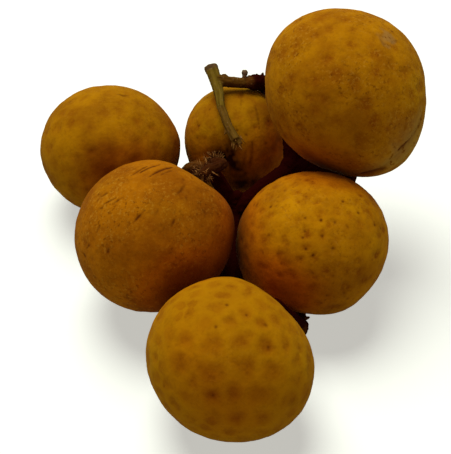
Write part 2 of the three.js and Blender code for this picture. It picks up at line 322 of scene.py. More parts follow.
fruitTopRight = {
    "node": "fruit_top_right",
    "centre": (20.9, 19.1, 31.0),
    "half": (13.8, 13.6, 13.0),
    "stemEnd": (-0.55, 0.317, -0.774),
    "turn": 1.9,
    "cavity": 0.12,
    "rim": 0.04,
    "swells": [(0.52, -0.58, -0.62, 0.13), (-0.77, 0.44, 0.47, 0.1), (0.82, 0.39, 0.42, 0.035),
               (0.985, -0.12, -0.13, -0.035), (0.72, -0.47, -0.51, 0.035)],
    "seed": 37,
    "net": 0.06,
    "blushAndShade": [(-96, 37, 14, 0.3), (-104, -4, 26, 0.5), (-150, 84, 14, 0.25),
              (-104, -38, 22, 0.9)],
    "freshAndLight": [(-24, 17, 16, 1.0), (-30, -10, 16, 0.6), (10, 45, 16, 0.4),
              (-45, -35, 20, 0.8), (-80, -20, 24, 0.4), (-58, -25, 8, 0.7)],
    "pitch": 3.3,
    "dimpleDepth": 0.14,
    "hollows": (0.2, 1.0),
    "hollowTone": 0.75,
    "dotShare": 0.12,
    "dotTone": 0.45,
    "blots": [(-127, 57, 1.3, 0.9), (-85, 61, 1.2, 0.6), (-89, 44, 1.0, 0.8), (-125, 40, 1.0, 0.6),
              (-126, 27, 1.2, 0.9), (-80, 26, 1.3, 0.9), (-75, 14, 1.5, 1.0), (-86, 0, 1.3, 0.7),
              (-64, 49, 1.1, 0.8), (-120, 17, 1.0, 0.6), (-92, 87, 1.0, 0.7), (-99, 33, 1.0, 0.6),
              (-55, 28, 1.2, 0.5)],
    "dots": [(13, 57, 0.3, 0.9), (-12, 66, 0.25, 0.7), (-10, 58, 0.25, 0.6)],
    "strokes": [(-14, 58, -2, 54, 0.3, 0.5), (-23, 67, -32, 61, 0.3, 0.4)],
    "mottle": 0.8,
    "speckle": 0.75,
    "scurf": 1.1,
    "scar": (-9, 63, 1.9),
    "crowdShadeStrength": 0.6,
    "crease": {"axis": (0.55, 0.15, -0.82), "angle": 64, "depth": 0.22, "middle": (-52, -24),
               "reach": 36},
    "scurfy": [(-30, 4, -40, -9, 1.6, 0.7), (-40, -9, -50, -15, 2.2, 0.9),
               (-50, -15, -60, -20, 2.2, 0.9), (-60, -20, -80, -30, 1.6, 0.7),
               (-42, 0, -62, -10, 3.0, 0.35)],
    "folded": [(-30, -3, -42, -9, 0.22, 0.6), (-43, -9, -50, -11, 0.25, 0.6),
               (-49, -10, -56, -13, 0.42, 1.0), (-64, -27, -80, -34, 0.6, 0.8)],
    "light": (182, 121, 0),
    "dark": (146, 86, 0),
}

fruitMiddleLeft = {
    "node": "fruit_middle_left",
    "centre": (-12.6, -0.3, 14.9),
    "half": (12.4, 13.7, 13.1),
    "stemEnd": (0.64, 0.6, 0.48),
    "turn": 1.34,
    "cavity": 0.12,
    "rim": 0.02,
    "swells": [(0.94, 0.22, 0.26, 0.1), (0.58, 0.6, 0.55, -0.06)],
    "seed": 41,
    "net": 0.0,
    "blushAndShade": [(-50, 35, 16, 0.45), (-113, 32, 20, 0.45), (-6, 54, 14, 0.45), (-30, 24, 14, 0.4)],
    "freshAndLight": [(-57, 64, 12, 0.7), (-76, 12, 15, 0.7), (166, 52, 14, 0.5)],
    "pitch": 3.2,
    "dimpleDepth": 0.1,
    "hollows": (0.15, 1.0),
    "hollowTone": 0.4,
    "dotShare": 0.03,
    "dotTone": 0.45,
    "blots": [(-104, 57, 1.0, 0.6), (-64, 48, 1.0, 0.5), (-94, 38, 0.9, 0.5)],
    "dots": [(-148, 8, 0.35, 0.9), (-146, 19, 0.3, 0.6), (-124, 25, 0.3, 0.5)],
    "strokes": [(148, 74, 96, 70, 0.22, 0.9), (123, 77, 72, 66, 0.26, 1.0),
                (82, 85, 49, 64, 0.26, 1.0), (34, 79, 39, 68, 0.2, 0.7),
                (-175, 50, -174, 57, 0.2, 0.7), (-160, 51, -154, 62, 0.2, 0.7),
                (-149, 56, -144, 67, 0.17, 0.5), (-107, 52, -94, 62, 0.2, 0.45),
                (-104, 55, -100, 59, 0.35, 0.5), (-64, 47, -58, 51, 0.2, 0.45),
                (-79, 58, -74, 61, 0.2, 0.4), (-143, 33, -144, 39, 0.18, 0.5),
                (-147, 16, -145, 21, 0.2, 0.6), (-152, 8, -146, 8, 0.18, 0.5),
                (-125, 24, -124, 28, 0.25, 0.6), (-27, 65, -3, 63, 0.25, 0.5)],
    "streaks": [{"turn": -145, "height": 52, "spread": 14, "count": 7,
                 "slant": (0.6, 0.54, 0.58), "length": 0.45, "width": 0.16, "tone": 0.5},
                {"turn": -40, "height": 62, "spread": 16, "count": 12,
                 "slant": (0.5, 0.6, 0.62), "length": 0.6, "width": 0.16, "tone": 0.45}],
    "mottle": 0.8,
    "speckle": 0.8,
    "scurf": 1.1,
    "light": (174, 106, 0),
    "dark": (138, 77, 0),
}

fruitMiddleRight = {
    "node": "fruit_middle_right",
    "centre": (14.7, -0.2, 12.7),
    "half": (13.0, 12.8, 12.5),
    "stemEnd": (-0.15, -0.66, -0.71),
    "turn": 3.3,
    "cavity": 0.1,
    "rim": 0.03,
    "swells": [(0.61, -0.54, -0.58, -0.035), (0.78, 0.42, 0.47, 0.045)],
    "seed": 59,
    "net": 0.08,
    "blushAndShade": [(-88, -2, 28, 0.8), (-55, 6, 18, 0.35), (170, 50, 14, 0.4), (100, 72, 12, 0.4)],
    "ruddyAndBounce": [(-108, -6, 22, 0.7), (-130, 4, 16, 0.5)],
    "freshAndLight": [(-24, 22, 13, 0.5), (-6, 55, 14, 0.4)],
    "pitch": 2.6,
    "dimpleDepth": 0.16,
    "hollows": (0.15, 1.0),
    "hollowTone": 0.75,
    "dotShare": 0.2,
    "dotTone": 0.5,
    "blots": [(-100, 42, 1.0, 0.5), (-83, 52, 0.8, 0.6), (-52, 40, 1.2, 0.5)],
    "dots": [(-167, 54, 0.3, 1.0), (-108, 63, 0.28, 0.8), (-82, 62, 0.32, 1.0),
             (-63, 58, 0.28, 0.8), (-104, 53, 0.3, 0.9), (-83, 50, 0.4, 0.8),
             (-105, 48, 0.25, 0.7), (-100, 40, 0.3, 0.9), (-74, 40, 0.3, 0.8),
             (-93, 36, 0.35, 0.9), (-24, 67, 0.3, 0.9), (-24, 53, 0.28, 0.8),
             (-18, 36, 0.3, 0.9), (-13, 29, 0.3, 0.9)],
    "mottle": 0.6,
    "speckle": 0.7,
    "scurf": 0.6,
    "light": (192, 129, 0),
    "dark": (156, 95, 0),
}

fruitFront = {
    "node": "fruit_front",
    "centre": (0.4, -26.3, 12.6),
    "half": (13.4, 12.7, 12.2),
    "stemEnd": (0.6, 0.763, 0.232),
    "turn": 0.42,
    "cavity": 0.12,
    "rim": 0.05,
    "swells": [(0.98, -0.15, -0.16, 0.055), (0.73, 0.47, 0.5, -0.06), (0.6, -0.55, -0.58, 0.015),
               (-0.6, -0.55, -0.58, 0.02)],
    "seed": 73,
    "net": 0.2,
    "blushAndShade": [(-98, 22, 24, 0.35), (-126, 42, 14, 0.25), (90, 75, 16, 0.3)],
    "ruddyAndBounce": [(-90, 14, 26, 0.25), (-127, 42, 22, 0.2)],
    "freshAndLight": [(-18, 20, 13, 0.5), (-160, 20, 13, 0.5)],
    "pitch": 3.3,
    "dimpleDepth": 0.24,
    "hollows": (0.1, 0.5),
    "hollowTone": 0.6,
    "dotShare": 0.1,
    "dotTone": 0.35,
    "blots": [(-69, 61, 1.3, 0.9), (-43, 49, 1.3, 1.0), (-110, 57, 1.4, 0.8), (-72, 44, 1.9, 0.8),
              (-23, 62, 1.2, 0.8), (-85, 75, 1.3, 0.7), (-142, 52, 1.0, 0.6), (-102, 21, 1.4, 0.9),
              (-86, 26, 1.3, 0.8), (-65, 21, 1.6, 0.8), (-84, 4, 1.4, 0.9), (-68, 1, 1.3, 0.7),
              (-106, 39, 1.5, 0.6), (-52, 34, 1.6, 0.7), (-25, 40, 1.2, 0.6), (-122, 15, 1.2, 0.5)],
    "dots": [(-156, 89, 0.35, 0.8), (-30, 75, 0.3, 0.7), (-115, 70, 0.3, 0.7),
             (-43, 48, 0.4, 0.7), (-23, 60, 0.35, 0.6), (-102, 22, 0.35, 0.6)],
    "mottle": 0.4,
    "speckle": 0.25,
    "scurf": 0.3,
    "light": (172, 114, 0),
    "dark": (148, 92, 0),
}

fruits = [fruitBackLeft, fruitBackMiddle, fruitTopRight, fruitMiddleLeft, fruitMiddleRight,
          fruitFront]


def fineBall():
    # a ball of small, nearly even triangles, used for every fruit
    builder = bmesh.new()
    bmesh.ops.create_icosphere(builder, subdivisions=1, radius=1.0)
    bmesh.ops.subdivide_edges(builder, edges=builder.edges[:], cuts=fruitForm["ballCuts"] - 1,
                              use_grid_fill=True)
    mesh = builtMesh("fineBall", builder)
    return mesh, unit(cornerPlaces(mesh))


def fruitBasis(fruit):
    # columns: across, through, and along the stem axis
    along = unit(fruit["stemEnd"])
    side = unit(np.cross((0, 0, 1), along))
    turned = side * math.cos(fruit["turn"]) + np.cross(along, side) * math.sin(fruit["turn"])
    return np.stack([turned, np.cross(along, turned), along], axis=1)


def fruitShare(fruit, basis, directions):
    # how far out the skin lies in each direction, as a share of the half size
    angle = np.arccos(np.clip(directions[:, 2], -1, 1))
    lean = 1 + fruitForm["rimLean"] * np.cos(np.arctan2(directions[:, 1], directions[:, 0]))
    share = 1 - fruit["cavity"] * hump(angle, fruitForm["cavityWidth"])
    share += fruit["rim"] * lean * hump(angle - fruitForm["rimAngle"], fruitForm["rimWidth"])
    for *toward, by in fruit["swells"]:
        inside = unit(toward) @ basis
        apart = np.arccos(np.clip(directions @ inside, -1, 1))
        share += by * hump(apart, fruitForm["swellWidth"])
    return share, angle


def spreadOnBall(count, wander, chance):
    # evenly spread directions, each moved a little
    steps = np.arange(count) + 0.5
    height = 1 - 2 * steps / count
    around = steps * math.pi * (3 - math.sqrt(5))
    flat = np.sqrt(1 - height ** 2)
    spots = np.stack([flat * np.cos(around), flat * np.sin(around), height], axis=1)
    return unit(spots + chance.normal(0, wander, spots.shape))


def facing(turn, height):
    # a direction from its compass turn and its height in degrees
    turn, height = math.radians(turn), math.radians(height)
    return np.array([math.cos(turn) * math.cos(height), math.sin(turn) * math.cos(height),
                     math.sin(height)])


def distanceFrom(outward, toward, size):
    # straight distance over the rind from one direction, in millimetres
    return np.sqrt(np.maximum(0, 2 - 2 * outward @ unit(toward).T)) * size


def waver(fruit, outward, kind):
    # what makes the edge of one kind of mark uneven
    amount, fineness, extra = fruitForm["waver"][kind]
    return amount * smoothNoise(outward * fineness, fruit["seed"] + extra)


def raggedDistance(fruit, outward, kind, spot, size):
    # from a placed mark with an uneven edge
    return distanceFrom(outward, facing(*spot), size) + waver(fruit, outward, kind)


def scatteredStrokes(outward, patch, size, chance):
    # short strokes, all slanting about the same way
    marks = np.zeros(len(outward))
    spread = math.radians(patch["spread"])
    amount, fineness = fruitForm["streakWaver"]
    for _ in range(patch["count"]):
        middle = unit(facing(patch["turn"], patch["height"]) + chance.normal(0, spread, 3))
        slant = np.array(patch["slant"]) + chance.normal(0, fruitForm["slantWander"], 3)
        slant = unit(slant - middle * (slant @ middle))
        long, wide = outward @ slant * size, outward @ np.cross(middle, slant) * size
        wide = wide + amount * np.sin(fineness * long + marks.size)
        long = long - middle @ slant * size
        length = patch["length"] * chance.uniform(*fruitForm["streakLengths"])
        mark = hump(long, length) * hump(wide, patch["width"])
        marks += mark * chance.uniform(*fruitForm["streakTones"]) * (outward @ middle > 0)
    return np.minimum(1, marks) * patch["tone"]


def lineMark(fruit, outward, kind, line, size):
    # one line over the rind, thinner toward its ends
    *ends, width, strength = line
    start, end = facing(*ends[:2]), facing(*ends[2:])
    along = np.clip((outward - start) @ (end - start) / ((end - start) @ (end - start)), 0, 1)
    nearest = unit(start + along[:, None] * (end - start))
    aside = np.linalg.norm(outward - nearest, axis=1) * size + waver(fruit, outward, kind)
    thin, more = fruitForm["strokeTaper"]
    return strength * hump(aside, width * (thin + more * np.sin(math.pi * along)))


def dimpleSpots(fruit, size, chance):
    # spread over the whole fruit, but for the places that the blots take
    pitch = fruit["pitch"]
    count = int(4 * math.pi * size ** 2 / (fruitForm["rowOfDimples"] * pitch ** 2))
    spots = spreadOnBall(count, fruitForm["dimpleWander"] * pitch / size, chance)
    for *spot, radius, _ in fruit["blots"]:
        clear = radius + fruitForm["blotClear"] * pitch
        spots = spots[distanceFrom(spots, facing(*spot), size) > clear]
    return spots


def netBetween(fruit, apart, warped, size):
    # strongest where one dimple or blot is as near as the next
    blots = np.array([facing(*blot[:2]) for blot in fruit["blots"]])
    apart = np.hstack([apart, distanceFrom(warped, blots, size)])
    apart.partition(1, axis=1)
    nearest, second = apart[:, 0], apart[:, 1]
    clear = fruitForm["netClear"] * fruit["pitch"]
    return hump(second - nearest, fruitForm["netWidth"]) * (nearest > clear)


def scatteredRelief(fruit, warped, size, chance):
    # the dimples, the dots near some of their middles, and the net between them
    spots = dimpleSpots(fruit, size, chance)
    count, pitch = len(spots), fruit["pitch"]
    apart = distanceFrom(warped, spots, size)
    strengths = chance.uniform(*fruit["hollows"], count)
    widths = pitch * chance.uniform(*fruitForm["dimpleWidths"], count)
    hollow = (strengths * hump(apart, widths)).sum(axis=1)
    marked = chance.random(count) < fruit["dotShare"]
    centres = unit(spots + chance.normal(0, fruitForm["dotWander"] * pitch / size, spots.shape))
    widths = chance.uniform(*fruitForm["dotSizes"], marked.sum())
    dot = hump(distanceFrom(warped, centres[marked], size), widths).sum(axis=1) * fruit["dotTone"]
    return hollow, dot, netBetween(fruit, apart, warped, size)


def rindRelief(fruit, outward, size):
    # dimples, dots, strokes and the net between dimples, each from 0 to 1 at every corner
    chance = np.random.default_rng(fruit["seed"])
    pull, fineness = fruitForm["swirl"]
    swirl = [smoothNoise(outward * fineness, fruit["seed"] + n) for n in range(3)]
    warped = unit(outward + pull * np.stack(swirl, axis=1))
    hollow, dot, net = scatteredRelief(fruit, warped, size, chance)
    for *spot, radius, strength in fruit["blots"]:
        hollow += strength * hump(distanceFrom(warped, facing(*spot), size), radius)
    reach, brown = fruitForm["smudge"]
    for *spot, radius, strength in fruit.get("dots", ()):
        away = raggedDistance(fruit, outward, "dots", spot, size)
        dot += strength * hump(away, fruitForm["dotEdge"] * radius)
        hollow += brown * strength * hump(away, reach)
    stroke = np.zeros(len(outward))
    for patch in fruit.get("streaks", ()):
        stroke += scatteredStrokes(outward, patch, size, chance)
    for line in fruit.get("strokes", ()):
        stroke += lineMark(fruit, outward, "strokes", line, size)
    return (np.minimum(1, values) for values in (hollow, dot, stroke, net))


# a fruit's scar, crease and folds, in millimetres
damage = {
    "scarEdge": (0.4, 1.2),  # where it is full and where it ends, as shares of its radius
    "scarDepth": 0.06,
    "ridge": (-0.7, 0.6),  # place across the crease, and width
    "groove": (0.35, 0.4),
    "grooveShare": 0.8,  # of the ridge's height
    "grooveLine": 0.3,  # width of the dark line in it
    "lipEdge": (-0.4, 0.2),
    "lipWidth": 4.5,
    "creaseTone": 0.35,
    "lipTone": 0.25,
    "foldDepth": 0.15,
}


def creaseLift(fruit, outward, size):
    # a groove with a low ridge beside it, part of the way round one end, and the dull lip beyond
    crease = fruit["crease"]
    aside = np.arccos(np.clip(outward @ unit(crease["axis"]), -1, 1))
    across = (aside - math.radians(crease["angle"])) * size + waver(fruit, outward, "crease")
    reach = distanceFrom(outward, facing(*crease["middle"]), 1)
    part = hump(reach, math.radians(crease["reach"]))
    (ridge, ridgeWidth), (groove, grooveWidth) = damage["ridge"], damage["groove"]
    wave = hump(across - ridge, ridgeWidth)
    wave -= damage["grooveShare"] * hump(across - groove, grooveWidth)
    lip = part * (1 - easeStep(across, *damage["lipEdge"])) * hump(across, damage["lipWidth"])
    return crease["depth"] * part * wave, part * hump(across - groove, damage["grooveLine"]), lip


def addDamage(fruit, outward, size, lift, stroke):
    # works on the lift, and gives the strokes with the new lines and the scarred places
    scar = np.zeros(len(outward))
    if "scar" in fruit:
        *spot, radius = fruit["scar"]
        full, end = damage["scarEdge"]
        away = raggedDistance(fruit, outward, "scar", spot, size)
        scar = 1 - easeStep(away, full * radius, end * radius)
        lift -= damage["scarDepth"] * scar
    if "crease" in fruit:
        raised, fold, lip = creaseLift(fruit, outward, size)
        lift += raised
        stroke = np.minimum(1, stroke + damage["creaseTone"] * fold)
        scar = np.minimum(1, scar + damage["lipTone"] * lip)
    for line in fruit.get("scurfy", ()):
        scar = np.minimum(1, scar + lineMark(fruit, outward, "scurfy", line, size))
    for line in fruit.get("folded", ()):
        fold = lineMark(fruit, outward, "folded", line, size)
        stroke = np.minimum(1, stroke + fold)
        scar *= 1 - fold
        lift -= damage["foldDepth"] * fold
    return stroke, scar


def paintedCrowdShade(fruit, places, outward):
    # painted shade: how closely the other fruits and the bunch's shaded inside crowd round each
    # spot, from 0 to 1
    total = np.zeros(len(places))
    for other in fruits:
        if other is not fruit:
            away = np.array(other["centre"]) - places
            inside = away @ fruitBasis(other) / np.array(other["half"])
            gap = (np.linalg.norm(inside, axis=1) - 1) * sum(other["half"]) / 3
            near = hump(np.maximum(0, gap), fruitForm["crowdShadeReach"])
            turned = (outward * unit(away)).sum(axis=1) + fruitForm["crowdShadeTurn"]
            total += near * np.clip(turned, 0, 1)
    for spot in fruitForm["shadedHeart"]:
        total += hump(np.linalg.norm(places - np.array(spot), axis=1), fruitForm["shadedHeartReach"])
    return np.minimum(1, total * fruit.get("crowdShadeStrength", 1.0))


def stemEndDarkAndShade(fruit, outward, angle, size):
    # the dark of the stem end, and of any nearly black spots near it, which are partly stain and
    # partly painted shade
    total = hump(angle, fruitForm["stemEndDark"])
    for *spot, radius, strength in fruit.get("stainsAndShade", ()):
        away = raggedDistance(fruit, outward, "stainsAndShade", spot, size)
        total += strength * hump(np.maximum(0, away), radius)
    return np.minimum(1, total)


def broadPatches(fruit, outward, kind):
    # wide soft patches of one kind, such as blush, which is partly painted shade
    total = np.zeros(len(outward))
    for *spot, spread, strength in fruit.get(kind, ()):
        away = raggedDistance(fruit, outward, "patch", spot, 1)
        total += strength * hump(np.maximum(0, away), math.radians(spread))
    return np.minimum(1, total)


def skinPlaces(fruit, basis, directions, share, lift):
    # the rind's corners, with a socket for the stalk
    places = directions * (np.array(fruit["half"]) * share[:, None] + lift[:, None])
    fromAxis = np.hypot(places[:, 0], places[:, 1])
    edge = fruitForm["socketRadius"]
    inSocket = 1 - easeStep(fromAxis, edge - fruitForm["socketSlope"], edge)
    places[:, 2] -= fruitForm["socketDepth"] * inSocket * (places[:, 2] > 0)
    return places @ basis.T + np.array(fruit["centre"])


def makeFruit(fruit, ball, directions):
    basis = fruitBasis(fruit)
    size = sum(fruit["half"]) / 3
    share, angle = fruitShare(fruit, basis, directions)
    outward = unit(directions * np.array(fruit["half"]) @ basis.T)
    hollow, dot, stroke, net = rindRelief(fruit, outward, size)
    lift = -fruit["dimpleDepth"] * hollow - fruitForm["dotDepth"] * dot
    lift -= fruitForm["strokeDepth"] * stroke
    lift -= fruitForm["sunk"]
    for height, fineness, extra in fruitForm["waves"]:
        lift += height * smoothNoise(outward * fineness, fruit["seed"] + extra)
    stroke, scar = addDamage(fruit, outward, size, lift, stroke)
    places = skinPlaces(fruit, basis, directions, share, lift)
    looks = {"hollow": hollow, "dot": dot, "stroke": stroke, "net": net * fruit["net"],
             "scar": scar, "crowdShade": paintedCrowdShade(fruit, places, outward),
             "socket": stemEndDarkAndShade(fruit, outward, angle, size)}
    for kind in rindLook["tints"]:
        looks[kind] = broadPatches(fruit, outward, kind)
    places += bunchShift
    places[:, 2] = np.maximum(places[:, 2], 0)  # the small flat that the fruit lies on
    mesh = ball.copy()
    mesh.name = fruit["node"] + "_rind"
    mesh.vertices.foreach_set("co", (places * mm).ravel())
    giveAttributes(mesh, looks)
    piece = addObject(fruit["node"] + "_rind", mesh)
    mesh.materials.append(rindMaterial(fruit))
    mesh.update()
    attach(piece, "root")
    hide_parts(fruit["node"])


rindLook = {
    "tones": {  # as seen on a screen, 0 to 255
        "middlingBrown": (114, 62, 0),
        "deepBrown": (118, 50, 0),
        "netYellow": (196, 144, 0),
        "fleckBrown": (100, 52, 0),
        "fleckTan": (188, 134, 44),
        "dotBrown": (78, 28, 0),
        "strokeBrown": (86, 40, 0),
        "scarGrey": (150, 112, 62),
        # the stem end's dark, and the painted shade spots near it
        "socketBrown": (44, 12, 2),
        # the next two are painted light where the fruits crowd: red bounce light, then shade
        "redBounceTint": (255, 216, 150),
        "crowdShadeBrown": (84, 22, 0),
    },
    "tints": {  # of the broad patches, partly painted shade, light and red bounce light; each multiplies the colour under it
        "blushAndShade": (0.56, 0.43, 0.4, 1.0),
        "freshAndLight": (1.15, 1.35, 1.0, 1.0),
        "ruddyAndBounce": (1.4, 0.8, 0.9, 1.0),
    },
    # patches: a noise's scale, detail and roughness, then where they begin and are full
    "broad": (150.0, 4.0, 0.55, 0.36, 0.66),
    "middling": (450.0, 5.0, 0.75, 0.45, 0.68),
    "specks": (1100.0, 4.0, 0.75, 0.36, 0.62),
    "worn": (500.0, 3.0, 0.55, 0.3, 0.6),
    "scurf": (95.0, 2.0, 0.55, 0.4, 0.62),
    "darkFlecks": (1500.0, 3.0, 0.7, 0.55, 0.66),
    "paleFlecks": (1700.0, 3.0, 0.7, 0.52, 0.66),
    "scarFlecks": (1000.0, 3.0, 0.7, 0.54, 0.68),
    "middlingShare": 0.35,
    "wornLeast": 0.6,
    "scurfLeast": 0.25,
    "darkFleckShare": 0.55,
    "paleFleckShare": 0.45,
    "scarShare": 0.65,
    "redBounceSpan": (0.0, 0.55),  # of the crowding, for the painted red bounce light
    "redBounceShare": 0.9,
    # the painted shade where the fruits crowd most
    "crowdShadeSpan": (0.4, 1.0),
    "crowdShadeShare": 0.7,
    "specular": 0.03,
    "sheen": 0.02,
    "sheenTint": (0.8, 1.0, 0.3, 1.0),
    "roughness": 0.8,
    "bumpNoise": (1300.0, 5.0, 0.65),
    "bumpStrength": 0.5,
    "bumpDepth": 0.00012,  # in metres
}


def rindMaterial(fruit):
    material, tree, shader = newMaterial(fruit["node"] + " rind")
    where = objectPlace(tree)
    tone = {key: linear(*colour) for key, colour in rindLook["tones"].items()}
    broad = patchesOut(tree, where, rindLook["broad"])
    colour = mixOut(tree, timesOut(tree, broad, fruit["mottle"]), linear(*fruit["light"]),
                    linear(*fruit["dark"]))
    share = timesOut(tree, patchesOut(tree, where, rindLook["middling"]), rindLook["middlingShare"])
    colour = mixOut(tree, share, colour, tone["middlingBrown"])
    # brown in the dimples, broken up into specks, and yellow between them
    speck = patchesOut(tree, where, rindLook["specks"], 1 - fruit["speckle"])
    worn = patchesOut(tree, where, rindLook["worn"], rindLook["wornLeast"])
    share = timesOut(tree, attributeOut(tree, "hollow"), timesOut(tree, worn, speck))
    colour = mixOut(tree, timesOut(tree, share, fruit["hollowTone"]), colour, tone["deepBrown"])
    colour = mixOut(tree, attributeOut(tree, "net"), colour, tone["netYellow"])
    # scurf: fine dark and pale flecks, more in some patches
    patch = patchesOut(tree, where, rindLook["scurf"], rindLook["scurfLeast"])
    for kind, shade in (("dark", "fleckBrown"), ("pale", "fleckTan")):
        fleck = patchesOut(tree, where, rindLook[kind + "Flecks"])
        most = rindLook[kind + "FleckShare"] * fruit["scurf"]
        share = timesOut(tree, timesOut(tree, fleck, patch), most)
        colour = mixOut(tree, share, colour, tone[shade])
    # dots, strokes, the scar, the stem end with its painted shade, and the broad patches, which are
    # partly painted shade and light
    colour = mixOut(tree, attributeOut(tree, "dot"), colour, tone["dotBrown"])
    colour = mixOut(tree, attributeOut(tree, "stroke"), colour, tone["strokeBrown"])
    dull = mixOut(tree, patchesOut(tree, where, rindLook["scarFlecks"]), tone["scarGrey"],
                  tone["dotBrown"])
    share = timesOut(tree, attributeOut(tree, "scar"), rindLook["scarShare"])
    colour = mixOut(tree, share, colour, dull)
    colour = mixOut(tree, attributeOut(tree, "socket"), colour, tone["socketBrown"])
    for kind, tint in rindLook["tints"].items():
        colour = mixOut(tree, attributeOut(tree, kind), colour, tint, "MULTIPLY")
    # painted shade: redder, as bounce light between the fruits makes it, where the other fruits
    # crowd round it, and darker where they crowd most
    crowdShade = attributeOut(tree, "crowdShade")
    share = timesOut(tree, rangeOut(tree, crowdShade, *rindLook["redBounceSpan"]), rindLook["redBounceShare"])
    colour = mixOut(tree, share, colour, tone["redBounceTint"], "MULTIPLY")
    share = timesOut(tree, rangeOut(tree, crowdShade, *rindLook["crowdShadeSpan"]), rindLook["crowdShadeShare"])
    colour = mixOut(tree, share, colour, tone["crowdShadeBrown"])
    finishShader(tree, shader, colour, rindLook)
    shader.inputs["Sheen Weight"].default_value = rindLook["sheen"]
    shader.inputs["Sheen Tint"].default_value = rindLook["sheenTint"]
    addBumps(tree, shader, where, rindLook)
    return material


# the twigs: each point is a place and then a radius, in millimetres
panicle = {
    "node": "panicle",
    "cut": (-2.7, 36.3, 23.2, 1.35),
    "cutFacing": (0, 0.96, 0.27),
    "cutReach": 1.6,  # how far the cut's tone spreads
    "sideNode": (-1.8, 33.4, 22.3, 1.1),
    "upperNode": (11.2, 29.2, 19.4, 1.4),
    "innerNode": (12.0, 20.3, 12.7, 2.0),
    "middleNode": (1.5, 13.3, 7.7, 1.4),
    "backNode": (-2.7, 18.0, 14.2, 1.15),
    "frontNode": (12.2, -11.9, 4.6, 1.75),
    "stalkRadius": 0.85,
    "stalkSunk": 1.37,  # of its end, below the floor of the fruit's cavity
    "stalkNeck": 1.4,  # length of its last stretch
    "stalkShares": (1.15, 1.0, 0.9),  # of the stalk's radius, toward its end
    "spikeShares": (0.62, 0.12),  # of a spike's radius, at its middle and its tip
    "ringGap": 0.35,
    "sides": 16,
    "askew": (0.3, 0.2, 0.93),  # a direction that no twig takes
    "knobCuts": 3,
    "voxel": 0.155,
}

# the dry lobes round each stalk; root and tip are a height over the floor of the fruit's cavity
# and a distance from the stem axis, in millimetres
calyx = {"lobes": 5, "root": (1.5, 0.5), "tip": (1.0, 1.85), "radius": 0.55}


def pointsAlong(route, gap):
    # points and radii along a smooth curve through the route
    stops = np.array([stop[:3] for stop in route], float)
    radii = np.array([stop[3] for stop in route], float)
    ends = [2 * stops[0] - stops[1], *stops, 2 * stops[-1] - stops[-2]]
    places, widths = [], []
    for n in range(len(stops) - 1):
        before, start, end, after = ends[n:n + 4]
        d0, d1, d2 = (max(1e-4, np.linalg.norm(b - a)) ** 0.5
                      for a, b in ((before, start), (start, end), (end, after)))
        leave = (start - before) / d0 - (end - before) / (d0 + d1) + (end - start) / d1
        arrive = (end - start) / d1 - (after - start) / (d1 + d2) + (after - end) / d2
        leave, arrive = leave * d1, arrive * d1
        count = max(2, round(np.linalg.norm(end - start) / gap))
        for t in np.arange(count) / count:
            c0 = 2 * t ** 3 - 3 * t ** 2 + 1
            c1 = t ** 3 - 2 * t ** 2 + t
            c2 = t ** 3 - t ** 2
            places.append(c0 * start + c1 * leave + (1 - c0) * end + c2 * arrive)
            widths.append(radii[n] + (radii[n + 1] - radii[n]) * t)
    places.append(stops[-1])
    widths.append(radii[-1])
    return np.array(places), np.array(widths)


class Wood:
    # the twigs as overlapping closed shells, and the middle line that the bark follows

    def __init__(self):
        self.verts, self.faces = [], []
        self.middles, self.alongs, self.widths, self.tones, self.lengths = [], [], [], [], []

    def shell(self, verts, faces):
        start = len(self.verts)
        self.verts.extend(map(tuple, verts))
        self.faces.extend(tuple(i + start for i in face) for face in faces)

    def line(self, middles, alongs, widths, tone):
        length = np.r_[0, np.cumsum(np.linalg.norm(np.diff(middles, axis=0), axis=1))]
        for values, extra in ((self.middles, middles), (self.alongs, alongs),
                              (self.widths, widths), (self.lengths, length),
                              (self.tones, [tone] * len(middles))):
            values.extend(extra)

    def twig(self, route, tone):
        places, widths = pointsAlong(route, panicle["ringGap"])
        alongs = unit(np.gradient(places, axis=0))
        side = unit(np.cross(alongs[0], panicle["askew"]))
        sides = panicle["sides"]
        turns = np.arange(sides) * 2 * math.pi / sides
        verts = []
        for place, along, width in zip(places, alongs, widths):
            side = unit(side - along * (side @ along))
            other = np.cross(along, side)
            for turn in turns:
                verts.append(place + width * (side * math.cos(turn) + other * math.sin(turn)))
        faces = []
        for ring, n in itertools.product(range(len(places) - 1), range(sides)):
            a, b = ring * sides + n, ring * sides + (n + 1) % sides
            faces.append((a, b, b + sides, a + sides))
        faces.append(tuple(reversed(range(sides))))
        faces.append(tuple(range(len(verts) - sides, len(verts))))
        self.shell(verts, faces)
        self.line(places, alongs, widths, tone)

    def knob(self, place, size, tone, stretch=1.0):
        builder = bmesh.new()
        bmesh.ops.create_icosphere(builder, subdivisions=panicle["knobCuts"], radius=size)
        builder.transform(Matrix.Translation(place) @ Matrix.Diagonal((1, 1, stretch, 1)))
        verts = [tuple(v.co) for v in builder.verts]
        faces = [[v.index for v in face.verts] for face in builder.faces]
        builder.free()
        self.shell(verts, faces)
        self.line([place], [(0, 0, 1)], [size], tone)

    def spike(self, root, tip, radius, tone):
        root, tip = np.array(root, float), np.array(tip, float)
        middleShare, tipShare = panicle["spikeShares"]
        self.twig([(*root, radius), (*(root + tip) / 2, radius * middleShare),
                   (*tip, radius * tipShare)], tone)


# tone of the bark: how green, how dark, how torn, and how grey and pale; the dark, a near-black
# maroon, is partly the bark's own colour and partly painted shade
toneGreen = (1.0, 0.0, 0.0, 0.0)
toneFading = (0.65, 0.1, 0.15, 0.0)
toneBrown = (0.25, 0.1, 0.0, 0.0)
toneTan = (0.0, 0.1, 0.0, 0.0)
toneMid = (0.0, 0.45, 0.0, 0.0)
toneRed = (0.0, 0.5, 0.0, 0.0)
toneBurnt = (0.0, 0.75, 0.12, 0.0)
